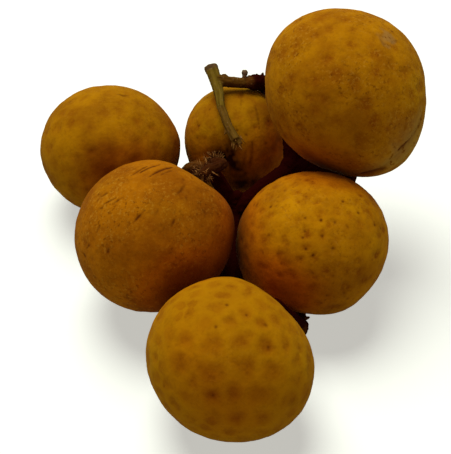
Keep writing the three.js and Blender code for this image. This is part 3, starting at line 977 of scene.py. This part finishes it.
# all maroon: painted shade on the twigs deep in the bunch, over their own dark bark
toneDark = (0.0, 1.0, 0.0, 0.0)
toneCut = (0.5, 0.25, 0.0, 0.35)
toneTorn = (0.35, 0.15, 0.6, 0.0)
toneDry = (0.0, 0.45, 0.4, 0.0)
toneBud = (0.0, 0.2, 0.0, 0.9)


def growPeduncle(wood):
    low, end = (-0.8, 27.3, 20.9, 0.76), (1.9, 20.9, 18.4, 0.88)
    wood.twig([panicle["cut"], panicle["sideNode"], (-1.2, 30.3, 21.6, 0.9), low], toneGreen)
    wood.twig([low, (0.8, 22.9, 19.3, 0.8), end], toneFading)
    wood.line([panicle["cut"][:3]], [panicle["cutFacing"]], [panicle["cutReach"]], toneCut)
    for root, tip, radius in (((2.1, 21.3, 18.5), (2.8, 19.6, 17.6), 0.6),
                              ((0.5, 23.8, 19.4), (-0.3, 22.0, 18.6), 0.55),
                              ((1.6, 21.3, 18.5), (1.4, 19.3, 17.4), 0.5),
                              ((2.4, 21.5, 18.4), (3.2, 20.3, 17.9), 0.35)):
        wood.spike(root, tip, radius, toneTorn)


def growSideTwig(wood):
    pale, swollen = (3.4, 33.4, 21.7, 0.97), (4.7, 34.0, 21.4, 1.3)
    wood.twig([panicle["sideNode"], (1.0, 33.3, 22.1, 1.02), pale], toneBrown)
    wood.twig([pale, swollen], toneTan)
    wood.twig([swollen, (5.6, 34.4, 21.1, 1.5), (7.7, 35.3, 20.0, 1.3), (9.3, 34.9, 18.6, 1.3),
               panicle["upperNode"]], toneDark)
    wood.knob((-0.2, 34.3, 22.3), 0.72, toneBrown)
    wood.knob((3.5, 33.9, 22.5), 0.45, toneMid, stretch=1.7)
    wood.knob((3.5, 34.5, 23.2), 0.64, toneBud)
    wood.knob((5.3, 34.9, 21.7), 0.72, toneRed)
    for root, tip, radius in (((6.7, 35.2, 20.9), (7.0, 36.6, 22.0), 0.7),
                              ((8.3, 35.9, 19.0), (9.5, 37.6, 18.9), 0.7),
                              ((6.9, 36.4, 19.9), (7.3, 40.0, 13.4), 1.5)):
        wood.spike(root, tip, radius, toneDark)


def growMainAxis(wood):
    upper, middle = panicle["upperNode"], panicle["middleNode"]
    back, front, inner = panicle["backNode"], panicle["frontNode"], panicle["innerNode"]
    # the axis runs dark through the gaps between the fruits; besides being the bunch's axis, its
    # near-black twigs stand in for the shade in those gaps
    wood.twig([upper, (12.0, 24.5, 16.3, 1.7), inner, (6.8, 16.5, 10.8, 1.7),
               (3.7, 14.4, 9.1, 1.6), middle], toneDark)
    wood.twig([middle, (1.15, 5.0, 4.8, 1.75), (1.15, -2.5, 4.5, 2.15), (2.6, -7.5, 4.4, 1.7),
               (7.0, -11.0, 4.5, 1.5), front], toneDark)
    wood.twig([middle, (-0.2, 15.4, 11.2, 1.45), back], toneDark)
    # a dark shoot under the top right fruit, filling the shaded gap above the middle right one
    wood.twig([inner, (17.6, 19.6, 12.8, 1.75), (23.0, 15.5, 13.8, 0.9)], toneDark)
    for place, size in ((upper, 1.6), (inner, 2.2), (middle, 1.7), (back, 1.4), (front, 1.85),
                        ((2.0, 15.2, 9.9), 1.3), ((-5.2, 18.6, 12.2), 0.9),
                        ((-1.0, -1.2, 5.5), 0.9), ((3.2, -1.2, 5.2), 0.9)):
        wood.knob(place[:3], size, toneDark)
    wood.knob((11.4, -10.2, 6.0), 1.0, toneRed)
    wood.spike((12.3, -12.4, 5.1), (12.9, -14.9, 5.7), 1.5, toneRed)


def cavityFloor(fruit):
    # its height on the stem axis, from the fruit's middle
    return fruit["half"][2] * (1 - fruit["cavity"])


def onStem(fruit, height, out=0.0, turn=0.0):
    # a place given by its height on the fruit's stem axis and its distance and turn round it
    local = (out * math.cos(turn), out * math.sin(turn), height)
    return np.array(fruit["centre"]) + fruitBasis(fruit) @ np.array(local)


def growStalks(wood):
    # each fruit's stalk leaves a node and ends with a straight stretch into the fruit's socket
    back, front, upper = panicle["backNode"], panicle["frontNode"], panicle["upperNode"]
    routes = (
        (fruitBackLeft, 2.6, toneTan, [back, (-6.3, 19.9, 12.8, 1.1)]),
        (fruitBackMiddle, 2.6, toneDark, [back]),
        (fruitTopRight, 2.6, toneDark, [upper, (12.2, 26.6, 18.5, 1.2)]),
        (fruitMiddleLeft, 2.6, toneBurnt, [back, (-1.6, 16.2, 17.0, 1.1), (-0.4, 14.6, 18.2, 0.8)]),
        (fruitMiddleRight, 2.6, toneDark, [front]),
        (fruitFront, 1.5, toneDark, [front, (11.4, -13.6, 8.0, 1.1), (10.2, -15.6, 11.6, 0.95)]),
    )
    for fruit, straight, tone, route in routes:
        bottom = cavityFloor(fruit)
        inner = bottom - panicle["stalkSunk"]
        heights = (bottom + straight, inner + panicle["stalkNeck"], inner)
        last = [(*onStem(fruit, height), panicle["stalkRadius"] * share)
                for height, share in zip(heights, panicle["stalkShares"])]
        wood.twig([*route, *last], tone)
        for n in range(calyx["lobes"]):
            turn = 2 * math.pi * n / calyx["lobes"]
            root, tip = (onStem(fruit, bottom + rise, out, turn)
                         for rise, out in (calyx["root"], calyx["tip"]))
            wood.spike(root, tip, calyx["radius"], toneDry)


# dry threads of the withered calyx, and of the torn end of the panicle's stem; sizes in millimetres
threads = {
    "perFruit": {"fruit_back_left": 26, "fruit_back_middle": 90, "fruit_top_right": 20,
                 "fruit_middle_left": 70},
    "raggedFrom": 50,  # more threads than this are longer, and grow farther up the stalk
    "tidy": {"rise": (0.9, 1.8), "stretch": 0.8},
    "ragged": {"rise": (0.9, 3.6), "stretch": 1.2},
    "out": (0.75, 0.2),  # from the stem axis to the nearest root, and how far they spread
    "drop": (-0.5, 0.6),  # this and the next are shares of the length
    "flare": 0.8,
    "turnWander": 0.5,
    "bendWander": 0.25,
    "length": (0.8, 2.2),
    "radius": (0.07, 0.16),
    "rings": (0.0, 0.35, 0.7),  # places along a thread, as shares
    "taper": 0.75,
    "sides": 5,
    "askew": (0.31, 0.17, 0.93),
    "torn": {"count": 14, "root": (2.1, 21.2, 18.4), "reach": (0.5, -1.3, -0.6), "wander": 0.35,
             "radius": 0.1, "bend": 0.1},
    "seed": 17,
}


def addThread(builder, root, tip, radius, bend):
    # a thin bent cone, its base at the root
    root, tip = np.array(root), np.array(tip)
    along = unit(tip - root)
    side = unit(np.cross(along, threads["askew"]))
    other = np.cross(along, side)
    sides = threads["sides"]
    turns = np.arange(sides) * 2 * math.pi / sides
    rings = []
    for share in threads["rings"]:
        middle = root + (tip - root) * share + bend * math.sin(math.pi * share)
        width = radius * (1 - threads["taper"] * share)
        rings.append([builder.verts.new(middle + width * (side * math.cos(t) + other * math.sin(t)))
                      for t in turns])
    point = builder.verts.new(tip)
    for low, high in zip(rings, rings[1:]):
        for n in range(sides):
            builder.faces.new((low[n], low[n + 1 - sides], high[n + 1 - sides], high[n]))
    for n in range(sides):
        builder.faces.new((rings[-1][n], rings[-1][n + 1 - sides], point))
    builder.faces.new(tuple(reversed(rings[0])))


def addCalyxThreads(builder, fruit, chance):
    count = threads["perFruit"].get(fruit["node"], 0)
    kind = threads["ragged" if count > threads["raggedFrom"] else "tidy"]
    bottom = cavityFloor(fruit)
    nearest, spread = threads["out"]
    for _ in range(count):
        turn = chance.uniform(0, 2 * math.pi)
        rise = chance.uniform(*kind["rise"])
        out = nearest + spread * chance.random()
        long = chance.uniform(*threads["length"]) * kind["stretch"]
        root = onStem(fruit, bottom + rise, out, turn)
        drop = chance.uniform(*threads["drop"])
        tip = onStem(fruit, bottom + rise + drop * long, out + threads["flare"] * long,
                     turn + chance.normal(0, threads["turnWander"]))
        bend = fruitBasis(fruit)[:, 2] * chance.normal(0, threads["bendWander"])
        addThread(builder, root, tip, chance.uniform(*threads["radius"]), bend)


def addTornThreads(builder, chance):
    torn = threads["torn"]
    for _ in range(torn["count"]):
        root = np.array(torn["root"]) + chance.normal(0, torn["wander"], 3)
        tip = root + torn["reach"] + chance.normal(0, torn["wander"], 3)
        addThread(builder, root, tip, torn["radius"], chance.normal(0, torn["bend"], 3))


def makeThreads():
    chance = np.random.default_rng(threads["seed"])
    builder = bmesh.new()
    for fruit in fruits:
        addCalyxThreads(builder, fruit, chance)
    addTornThreads(builder, chance)
    for vert in builder.verts:
        vert.co = (vert.co + Vector(bunchShift)) * mm
    mesh = builtMesh("panicle_threads", builder)
    piece = addObject("panicle_threads", mesh)
    mesh.materials.append(threadMaterial())
    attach(piece, "root")
    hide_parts(panicle["node"])
    print("thread faces", len(mesh.polygons))


threadLook = {
    "dark": (62, 26, 8),
    "pale": (158, 110, 58),
    "patches": (700.0, 3.0, 0.55, 0.4, 0.62),
    "roughness": 0.85,
    "specular": 0.1,
}


def threadMaterial():
    material, tree, shader = newMaterial("dry threads")
    share = patchesOut(tree, objectPlace(tree), threadLook["patches"])
    colour = mixOut(tree, share, linear(*threadLook["dark"]), linear(*threadLook["pale"]))
    finishShader(tree, shader, colour, threadLook)
    return material


# the bark's relief in millimetres; turns say how fine a noise is
bark = {
    "depth": 0.09,
    "grainTurns": 3.2,
    "grainAlong": 0.35,  # slower along the twig
    "grainShare": 0.9,
    "crustTurns": 1.3,
    "crustShare": 0.9,
    "crustLoss": 0.7,  # of the crust where the bark is green
    "wartTurns": 2.1,
    "wartSpan": (0.45, 0.8),
    "wartHeight": 0.12,
    "underShadeSpan": (-0.1, 0.5),  # how far down the bark has to face to get the painted shade
    "underShadeShare": 0.9,
    "underShadeLoss": 0.6,  # of that painted shade where it is green
    "evenRounds": 2,
    "toneRounds": 12,
    "block": 4000,  # corners measured at one time, which saves memory
    "seed": 5,
}


def nearestWood(places, wood):
    # the outward and lengthwise directions, the length along the twig and the tone at each place
    middles, alongs = np.array(wood.middles), np.array(wood.alongs)
    widths, lengths = np.array(wood.widths), np.array(wood.lengths)
    tones = np.array(wood.tones)
    nearest = np.empty(len(places), int)
    for start in range(0, len(places), bark["block"]):
        part = places[start:start + bark["block"]]
        apart = np.linalg.norm(part[:, None] - middles, axis=2) - widths
        nearest[start:start + bark["block"]] = apart.argmin(axis=1)
    outward = places - middles[nearest]
    outward -= alongs[nearest] * (outward * alongs[nearest]).sum(axis=1)[:, None]
    outward /= np.maximum(1e-6, np.linalg.norm(outward, axis=1))[:, None]
    return outward, alongs[nearest], lengths[nearest], tones[nearest]


def evenOut(values, edges, rounds):
    # spreads a value over the neighbouring corners
    count = np.maximum(1, np.bincount(edges.ravel(), minlength=len(values)))[:, None]
    for _ in range(rounds):
        total = np.zeros_like(values)
        np.add.at(total, edges[:, 0], values[edges[:, 1]])
        np.add.at(total, edges[:, 1], values[edges[:, 0]])
        values = 0.5 * values + 0.5 * total / count
    return values


def joinedShells(wood):
    # all the shells grown together into one skin
    mesh = bpy.data.meshes.new("panicle_wood")
    mesh.from_pydata(wood.verts, [], wood.faces)
    mesh.update()
    piece = addObject("panicle_wood", mesh)
    joined = piece.modifiers.new("grow together", "REMESH")
    joined.mode = "VOXEL"
    joined.voxel_size = panicle["voxel"]
    bpy.context.view_layer.update()
    shaped = piece.evaluated_get(bpy.context.evaluated_depsgraph_get())
    grown = bpy.data.meshes.new_from_object(shaped)
    piece.modifiers.clear()
    piece.data = grown
    bpy.data.meshes.remove(mesh)
    grown.name = "panicle_wood"
    return piece, grown


def addBark(grown, wood):
    # smooths the skin, raises the bark on it and keeps what the material reads
    edges = np.empty(len(grown.edges) * 2, int)
    grown.edges.foreach_get("vertices", edges)
    edges = edges.reshape(-1, 2)
    places = evenOut(cornerPlaces(grown), edges, bark["evenRounds"])
    outward, along, length, tones = nearestWood(places, wood)
    outward = unit(evenOut(outward, edges, bark["evenRounds"]) + 1e-9)
    green, dark, torn, pale = evenOut(tones, edges, bark["toneRounds"]).T
    # painted shade on the twigs' undersides, put into the dark tone
    under = easeStep(-outward[:, 2], *bark["underShadeSpan"]) * (1 - bark["underShadeLoss"] * green)
    dark = np.maximum(dark, bark["underShadeShare"] * under)
    grainPlaces = outward * bark["grainTurns"] + along * length[:, None] * bark["grainAlong"]
    grain = layeredNoise(grainPlaces, bark["seed"])
    crust = layeredNoise(places * bark["crustTurns"], bark["seed"] + 9)
    crust = bark["crustShare"] * crust * (1 - bark["crustLoss"] * green)
    wart = smoothNoise(places * bark["wartTurns"], bark["seed"] + 20)
    wart = easeStep(wart, *bark["wartSpan"])
    lift = bark["depth"] * (bark["grainShare"] * grain + crust)
    lift += bark["wartHeight"] * wart * (1 - green)
    places = places + outward * lift[:, None] + bunchShift
    grown.vertices.foreach_set("co", (places * mm).ravel())
    giveAttributes(grown, {"green": green, "dark": dark, "torn": torn, "pale": pale,
                           "grain": 0.5 + 0.5 * grain, "wart": wart})


def makePanicle():
    wood = Wood()
    for grow in (growPeduncle, growSideTwig, growMainAxis, growStalks):
        grow(wood)
    piece, grown = joinedShells(wood)
    addBark(grown, wood)
    shadeSmooth(grown)
    grown.materials.clear()
    grown.materials.append(barkMaterial())
    grown.update()
    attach(piece, "root")
    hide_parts(panicle["node"])
    print("panicle faces", len(grown.polygons))


barkLook = {
    "brown": ((62, 32, 10), (104, 64, 24)),  # in the grain's hollows, and on its ridges
    "green": ((84, 66, 18), (120, 98, 36)),
    "torn": (138, 96, 48),
    "pale": (122, 102, 84),
    "wart": (128, 96, 62),
    "wartShare": 0.5,
    "fleck": (140, 112, 78),
    "flecks": (2400.0, 3.0, 0.7, 0.58, 0.7),
    "fleckShare": 0.5,
    # near-black, partly dark bark and partly painted shade for the deep twigs and the undersides
    "shadeMaroon": (44, 6, 3),
    "darkShadeShare": 0.98,
    "roughness": 0.85,
    "specular": 0.02,
    "bumpNoise": (1800.0, 4.0, 0.65),
    "bumpStrength": 0.5,
    "bumpDepth": 0.00015,  # in metres
}


def barkMaterial():
    material, tree, shader = newMaterial("panicle bark")
    where = objectPlace(tree)
    grain = attributeOut(tree, "grain")
    brown, green = (mixOut(tree, grain, *(linear(*tone) for tone in barkLook[key]))
                    for key in ("brown", "green"))
    colour = mixOut(tree, attributeOut(tree, "green"), brown, green)
    for key in ("torn", "pale"):
        colour = mixOut(tree, attributeOut(tree, key), colour, linear(*barkLook[key]))
    share = timesOut(tree, attributeOut(tree, "wart"), barkLook["wartShare"])
    colour = mixOut(tree, share, colour, linear(*barkLook["wart"]))
    share = timesOut(tree, patchesOut(tree, where, barkLook["flecks"]), barkLook["fleckShare"])
    colour = mixOut(tree, share, colour, linear(*barkLook["fleck"]))
    # painted shade: the deep twigs and the undersides go near-black maroon
    share = timesOut(tree, attributeOut(tree, "dark"), barkLook["darkShadeShare"])
    colour = mixOut(tree, share, colour, linear(*barkLook["shadeMaroon"]))
    finishShader(tree, shader, colour, barkLook)
    addBumps(tree, shader, where, barkLook)
    return material


# the floor and the light
studio = {
    "floorSize": 4.0,
    "floorColour": (0.9, 0.93, 0.95, 1.0),
    "floorGlow": 0.4,  # a little light of its own, as a light table has
    "floorDrop": 0.0001,  # below the plane that sends light back up
    "bounceColour": (0.44, 0.45, 0.34, 1.0),  # of the light that comes back up from the surface
    "roughness": 0.9,
    "specular": 0.1,
    "keyPlace": (-0.18, 0.4, 0.95),
    "keyAim": (0, 0, 0.01),
    "keySize": 0.8,
    "keyPower": 9.25,
    "keyColour": (0.98, 1.0, 0.86),
    "skyColour": (1.0, 0.88, 0.78, 1.0),
    "skyPower": 0.36,
}

# the camera's place in the frame in metres, its pitch in degrees, and the long side of its
# picture and its focal length, both in dots
cameraSetup = {
    "place": (-0.00019, -0.173835, 0.1777),
    "pitch": 43.0,
    "pictureSide": 454,
    "focalDots": 1400.0,
    "sensor": 36.0,
    "nearest": 0.01,
    "farthest": 20,
}


def makePlane(name, colour):
    half = studio["floorSize"] / 2
    mesh = bpy.data.meshes.new(name)
    mesh.from_pydata([(-half, -half, 0), (half, -half, 0), (half, half, 0), (-half, half, 0)],
                     [], [(0, 1, 2, 3)])
    plane = addObject(name, mesh)
    material, _, shader = newMaterial(name)
    shader.inputs["Base Color"].default_value = colour
    shader.inputs["Roughness"].default_value = studio["roughness"]
    shader.inputs["Specular IOR Level"].default_value = studio["specular"]
    mesh.materials.append(material)
    return plane, shader


def makeFloor():
    # a pale floor to look at, and over it a duller one that only sends light back up
    floor, shader = makePlane("floor", studio["floorColour"])
    shader.inputs["Emission Color"].default_value = (1.0, 1.0, 1.0, 1.0)
    shader.inputs["Emission Strength"].default_value = studio["floorGlow"]
    floor.location.z = -studio["floorDrop"]
    floor.visible_diffuse = False
    floor.visible_glossy = False
    bounce, _ = makePlane("bounce", studio["bounceColour"])
    bounce.visible_camera = False
    bounce.visible_shadow = False
    bounce.visible_glossy = False


def makeLight():
    lamp = bpy.data.lights.new("soft key", "AREA")
    lamp.shape = "DISK"
    lamp.size = studio["keySize"]
    lamp.energy = studio["keyPower"]
    lamp.color = studio["keyColour"]
    key = addObject("soft key", lamp)
    key.location = studio["keyPlace"]
    toMiddle = Vector(studio["keyAim"]) - key.location
    key.rotation_euler = toMiddle.to_track_quat("-Z", "Y").to_euler()


def makeSky():
    world = bpy.data.worlds.new("studio")
    bpy.context.scene.world = world
    world.use_nodes = True
    sky = world.node_tree.nodes["Background"]
    sky.inputs["Color"].default_value = studio["skyColour"]
    sky.inputs["Strength"].default_value = studio["skyPower"]


def makeCamera():
    lens = bpy.data.cameras.new("camera")
    lens.sensor_width = cameraSetup["sensor"]
    lens.lens = cameraSetup["focalDots"] * cameraSetup["sensor"] / cameraSetup["pictureSide"]
    lens.clip_start = cameraSetup["nearest"]
    lens.clip_end = cameraSetup["farthest"]
    camera = addObject("camera", lens)
    camera.location = cameraSetup["place"]
    camera.rotation_euler = (math.radians(90 - cameraSetup["pitch"]), 0, 0)
    bpy.context.scene.camera = camera


print("camera and light")
makeCamera()
makeLight()
makeSky()
makeFloor()
bpy.context.scene.view_settings.view_transform = "Standard"

print("fruits")
ballMesh, ballDirections = fineBall()
for fruit in fruits:
    makeFruit(fruit, ballMesh, ballDirections)
bpy.data.meshes.remove(ballMesh)

print("panicle")
makePanicle()
makeThreads()
